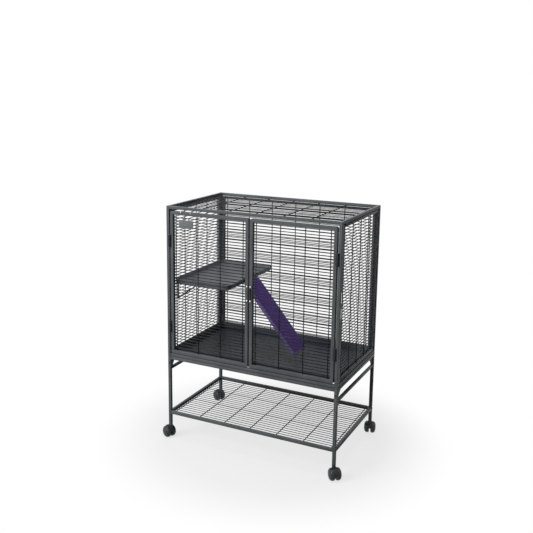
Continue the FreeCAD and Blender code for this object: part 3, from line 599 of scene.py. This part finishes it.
def hood_mesh():
    """The curved hood, the web below it and the boss with the stem on top."""
    work = bmesh.new()
    loops = []
    for angle in arc(*HOOD_ARC, HOOD_STEPS):
        loops.append([work.verts.new(on_axle(radius / 1000, angle, y / 1000)) for y, radius in HOOD_SECTION])
    for low, high in zip(loops, loops[1:]):
        for k in range(len(low)):
            work.faces.new((low[k - 1], low[k], high[k], high[k - 1]))
    work.faces.new(loops[0])
    work.faces.new(loops[-1])
    rim = [(WEB_RIM, angle) for angle in arc(*HOOD_ARC, HOOD_STEPS)]
    foot = [(WEB_FOOT, angle) for angle in arc(HOOD_ARC[1], HOOD_ARC[0] + 2 * math.pi, HOOD_STEPS // 2)]
    sides = []
    for y in (-WEB_HALF, WEB_HALF):
        sides.append([work.verts.new(on_axle(radius, angle, y)) for radius, angle in rim + foot])
    for k in range(len(sides[0])):
        work.faces.new((sides[0][k - 1], sides[0][k], sides[1][k], sides[1][k - 1]))
    for side in sides:
        work.faces.new(side)
    for v in turned(work, BOSS_PROFILE, MILLIMETRE)[0]:
        v.co.z = WHEEL_R + math.sqrt(HOOD_SKIN ** 2 - (v.co.x - TRAIL) ** 2)
    return mesh_of("caster_hood", work)


hood = hood_mesh()
print("hood with", len(hood.vertices), "points")

# %% The wheel
WHEEL_BORE, WHEEL_INSIDE = 3.05, 3.5
SHOULDER_WIDE, SHOULDER_DEEP = 4.5, 5.7
TREAD_END, DOME_RISE, DOME_POWER = 11.0, 14.3, 2.5
GROOVE = ((16.4, 0.0), (16.0, 0.5), (15.5, 0.5), (15.1, 0.0))
PROFILE_STEPS, WHEEL_STEPS = 16, 64


def wheel_profile():
    """Flat inside, round shoulder, tread and a full dome with a ring groove, in millimetres."""
    rim = WHEEL_R * 1000
    flat = rim - SHOULDER_WIDE
    points = [(WHEEL_BORE, WHEEL_INSIDE)]
    for angle in arc(0.0, math.pi / 2, PROFILE_STEPS // 2):
        height = WHEEL_INSIDE + SHOULDER_DEEP * (1 - math.cos(angle))
        points.append((flat + SHOULDER_WIDE * math.sin(angle), height))
    dome = []
    for angle in arc(0.0, math.pi / 2, PROFILE_STEPS):
        radius = rim * max(0.0, math.cos(angle)) ** (2 / DOME_POWER)
        if not GROOVE[-1][0] < radius < GROOVE[0][0]:
            dome.append((radius, 0.0))
    for radius, depth in sorted(dome + list(GROOVE), reverse=True):
        rise = (1 - (radius / rim) ** DOME_POWER) ** (1 / DOME_POWER)
        points.append((radius, TREAD_END + DOME_RISE * rise - depth))
    points[-1] = (0.0, TREAD_END + DOME_RISE)
    return points


def wheel_mesh(way):
    """A wheel on one side of the web, with its dome facing out."""
    work = bmesh.new()
    turned(work, wheel_profile(), axle_mid @ aimed(1, way) @ MILLIMETRE, WHEEL_STEPS)
    return mesh_of("caster_wheel", work)


wheels = {"a": wheel_mesh(-1), "b": wheel_mesh(1)}
print("wheel with", len(wheels["a"].vertices), "points")

# %% Four casters on their bodies
for corner in ("front_left", "front_right", "back_left", "back_right"):
    body = "caster_" + corner
    stem = Vector(joints[body + "_swivel"]["pos_m"])
    axle = Vector(joints[body + "_roll_a"]["pos_m"])
    heading = math.atan2(axle.y - stem.y, axle.x - stem.x)
    spot = Matrix.Translation((stem.x, stem.y, 0)) @ Matrix.Rotation(heading, 4, "Z")
    piece = place(body + "_hood", hood, "caster_plastic", body, spot)
    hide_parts(body + "_body")
    for letter, data in wheels.items():
        wheel = body + "_wheel_" + letter
        piece = place(wheel + "_tread", data, "wheel_plastic", wheel, spot)
        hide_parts(wheel)
    print(body, "trails at", round(math.degrees(heading)), "degrees")

# %% [markdown]
# ## The padded ramp
# The sleeve is sewn from fleece over thin wadding and pulled on to the board. A short cloth simulation blows
# a flat slab up a little, with its edges held, so the tread swells like padding. The swell could be carved by
# hand, but the cloth finds it from the held edges alone. Then tape binds the edges and is stitched down.

# %% Where the ramp lies
TAPE_THICK = 0.0008
cover = nodes["ramp_cover"].data
tread = max((face for face in cover.polygons if face.normal.z > 0), key=lambda face: face.area)
ramp_slope = math.atan2(tread.normal.x, tread.normal.z)
ramp_place = Matrix.Translation(joints["ramp_lift"]["pos_m"]) @ Matrix.Rotation(ramp_slope, 4, "Y")
cover_spots = [ramp_place.inverted() @ v.co for v in cover.vertices]
COVER_START, RAMP_LENGTH = min(spot.x for spot in cover_spots), max(spot.x for spot in cover_spots)
COVER_HALF_WIDTH = max(spot.y for spot in cover_spots) - TAPE_THICK
print("ramp slopes at", round(math.degrees(ramp_slope), 1), "degrees")

# %% A flat slab with an even net
COVER_HALF = 0.0058
CORNER_ROUND = 0.7
VOXEL = 0.004


def slab():
    """A plain slab of the sleeve's size, cut into an even net."""
    work = bmesh.new()
    bmesh.ops.create_cube(work, size=1.0)
    length = RAMP_LENGTH - COVER_START
    size = Matrix.Diagonal((length, 2 * COVER_HALF_WIDTH, 2 * COVER_HALF, 1.0))
    middle = Matrix.Translation((COVER_START + length / 2, 0, 0))
    bmesh.ops.transform(work, matrix=middle @ size, verts=work.verts)
    bmesh.ops.bevel(work, geom=work.edges, offset=COVER_HALF * CORNER_ROUND, segments=3, affect="EDGES",
                    profile=0.5)
    return mesh_of("ramp_sleeve", work)


def settled(piece):
    """The piece's mesh with all its modifiers worked in."""
    bpy.context.view_layer.update()
    return bpy.data.meshes.new_from_object(piece.evaluated_get(bpy.context.evaluated_depsgraph_get()))


sleeve = place("ramp_sleeve", slab(), "ramp_cloth", "ramp", ramp_place)
net = sleeve.modifiers.new("net", "REMESH")
net.mode = "VOXEL"
net.voxel_size = VOXEL
sleeve.data = settled(sleeve)
sleeve.modifiers.clear()
flat = [v.co.copy() for v in sleeve.data.vertices]
print("net of", len(flat), "points")

# %% Cloth under pressure
HELD_RIM = 0.004
PRESSURE = 4.0
FRAMES = 20


def blow_up(piece):
    """Cloth under pressure for some frames, with the rim and both ends held."""
    rim = piece.vertex_groups.new(name="held")
    for v in piece.data.vertices:
        at_side = abs(v.co.y) > COVER_HALF_WIDTH - HELD_RIM
        at_end = v.co.x < COVER_START + HELD_RIM or v.co.x > RAMP_LENGTH - HELD_RIM
        if at_side or at_end:
            rim.add([v.index], 1.0, "REPLACE")
    cloth = piece.modifiers.new("padding", "CLOTH")
    cloth.settings.use_pressure = True
    cloth.settings.uniform_pressure_force = PRESSURE
    cloth.settings.effector_weights.gravity = 0.0
    cloth.settings.vertex_group_mass = "held"
    cloth.point_cache.frame_start, cloth.point_cache.frame_end = 1, FRAMES
    for step in range(1, FRAMES + 1):
        scene.frame_set(step)
    shape = [v.co.copy() for v in settled(piece).vertices]
    piece.modifiers.clear()
    scene.frame_set(1)
    return shape


puffed = blow_up(sleeve)

# %% Keep the swollen form
LIFT_LIMIT = 0.005
UNDERSIDE_SHARE = 0.4

most = 0.0
for v, start, end in zip(sleeve.data.vertices, flat, puffed):
    move = end - start
    if move.length > LIFT_LIMIT:
        move *= LIFT_LIMIT / move.length
    if start.z < 0:
        move *= UNDERSIDE_SHARE
    v.co = start + move
    most = max(most, move.length)
sleeve.modifiers.new("smooth cloth", "SUBSURF").levels = 1
sleeve.data = settled(sleeve)
sleeve.modifiers.clear()
for face in sleeve.data.polygons:
    face.use_smooth = True
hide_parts("ramp_cover")
print("sleeve swells by", round(most * 1000, 1), "mm,", len(sleeve.data.vertices), "points")

# %% Bind the edges with tape
TAPE_REACH = 0.0075

tape = bmesh.new()
tape.from_mesh(sleeve.data)
edge_y, edge_x = COVER_HALF_WIDTH - TAPE_REACH, RAMP_LENGTH - TAPE_REACH
inner = []
for face in tape.faces:
    middle = face.calc_center_median()
    if abs(middle.y) < edge_y and middle.x < edge_x:
        inner.append(face)
bmesh.ops.delete(tape, geom=inner, context="FACES")
bmesh.ops.solidify(tape, geom=tape.faces, thickness=-TAPE_THICK)
binding = mesh_of("ramp_binding", tape)
place("ramp_binding", binding, "ramp_tape", "ramp", ramp_place)
print("tape with", len(binding.polygons), "faces")

# %% Stitch the tape down
STITCH_STEP, STITCH_HALF, STITCH_R = 0.0055, 0.0018, 0.0005
STITCH_IN = 0.0055
RAY_HEIGHT = 0.05

spots = [v.co for v in sleeve.data.vertices]
cloth_tree = BVHTree.FromPolygons(spots, [face.vertices for face in sleeve.data.polygons])
work = bmesh.new()
count = int((RAMP_LENGTH - COVER_START - 2 * TAPE_REACH) / STITCH_STEP)
for side in (-1, 1):
    for k in range(count):
        along = COVER_START + TAPE_REACH + k * STITCH_STEP
        above = Vector((along, side * (COVER_HALF_WIDTH - STITCH_IN), RAY_HEIGHT))
        spot = cloth_tree.ray_cast(above, -AXES[2])[0]
        lift = Matrix.Translation(spot + AXES[2] * TAPE_THICK)
        bmesh.ops.create_uvsphere(work, u_segments=8, v_segments=5, radius=1.0,
                                  matrix=lift @ Matrix.Diagonal((STITCH_HALF, STITCH_R, STITCH_R, 1.0)))
place("ramp_stitches", mesh_of("ramp_stitches", work), "ramp_tape", "ramp", ramp_place)
print(2 * count, "stitches")

# %% [markdown]
# ## Studio
# The cage stands on a pale floor in front of nothing, as in a catalogue. A big softbox at the front left
# models the tubes, and weaker ones above and behind open up the roof and the back. They light the cage's
# front at a plain level, so a colour renders there about as it is written. A bright room could make the white
# too, but it would wash the cage out, so the white shows only to the camera and in reflections.

# %% The floor's material
FLOOR_NEAR, FLOOR_FAR = 0.42, 0.8
FLOOR_GLOW = 0.72
FLOOR_BOUNCE = (0.08, 0.08, 0.08, 1.0)
WHITE = (1.0, 1.0, 1.0, 1.0)
SHOWING_RAYS = ("Is Camera Ray", "Is Glossy Ray", "Is Transmission Ray")


def studio(make):
    grain = make.noise(3.0, 2.0)
    return {
        "Base Color": make.blend(grain.ramp(0.2, 0.8), (0.93, 0.93, 0.93, 1.0), (0.95, 0.95, 0.95, 1.0)),
        "Roughness": 0.6 + grain * 0.1,
    }


def seen_straight(make):
    """At least 1 for rays that show a surface, those of the camera, of a mirror and of glass, or else 0."""
    return sum(make.node("LightPath", {}, {}, ray) for ray in SHOWING_RAYS)


finish("studio", studio)
tree = finishes["studio"].node_tree
make = Link(tree)
away = make.node("VectorMath", {"operation": "LENGTH"}, {0: make.place()}, "Value")
far = away.ramp(FLOOR_NEAR, FLOOR_FAR)
glow = make.node("Emission", {}, {"Color": WHITE, "Strength": 1.0})
lit = Link(tree, tree.nodes["Principled BSDF"].outputs[0])
dim = make.node("BsdfDiffuse", {}, {"Color": FLOOR_BOUNCE})
shown = make.node("MixShader", {}, {0: FLOOR_GLOW + (1 - FLOOR_GLOW) * far, 1: lit, 2: glow})
faded = make.node("MixShader", {}, {0: seen_straight(make), 1: dim, 2: shown})
tree.links.new(faded.socket, tree.nodes["Material Output"].inputs["Surface"])
print("floor with", len(tree.nodes), "nodes")

# %% Floor and backdrop
FLOOR_SIZE = 40.0
AMBIENT = 0.025

work = bmesh.new()
bmesh.ops.create_grid(work, x_segments=1, y_segments=1, size=FLOOR_SIZE / 2)
floor = bpy.data.objects.new("floor", mesh_of("floor", work))
floor.data.materials.append(finishes["studio"])
scene.collection.objects.link(floor)

world = bpy.data.worlds.new("studio")
scene.world = world
world.use_nodes = True
tree = world.node_tree
make = Link(tree)
white = make.node("Background", {}, {"Color": WHITE, "Strength": 1.0})
soft = make.node("Background", {}, {"Color": WHITE, "Strength": AMBIENT})
mixed = make.node("MixShader", {}, {0: seen_straight(make), 1: soft, 2: white})
tree.links.new(mixed.socket, tree.nodes["World Output"].inputs["Surface"])
print("floor of", FLOOR_SIZE, "m under an even sky of", AMBIENT)

# %% Softboxes
CAGE_MIDDLE = Vector((0.0, 0.0, 0.6))


def softbox(name, at, size, watts, mirrored=True):
    """A square lamp, which shows in glossy surfaces unless that is turned off."""
    lamp = bpy.data.lights.new(name, "AREA")
    lamp.size = size
    lamp.energy = watts
    box = bpy.data.objects.new(name, lamp)
    box.location = at
    box.rotation_euler = (CAGE_MIDDLE - Vector(at)).to_track_quat("-Z", "Y").to_euler()
    box.visible_glossy = mirrored
    scene.collection.objects.link(box)
    print("softbox", name, watts, "W")


softbox("key", at=(-2.2, -3.4, 2.6), size=2.2, watts=124.0)
softbox("top", at=(0.2, -0.4, 3.6), size=2.0, watts=30.0)
softbox("back", at=(-1.4, 3.6, 1.0), size=2.0, watts=25.0, mirrored=False)
scene.view_settings.view_transform = "Standard"
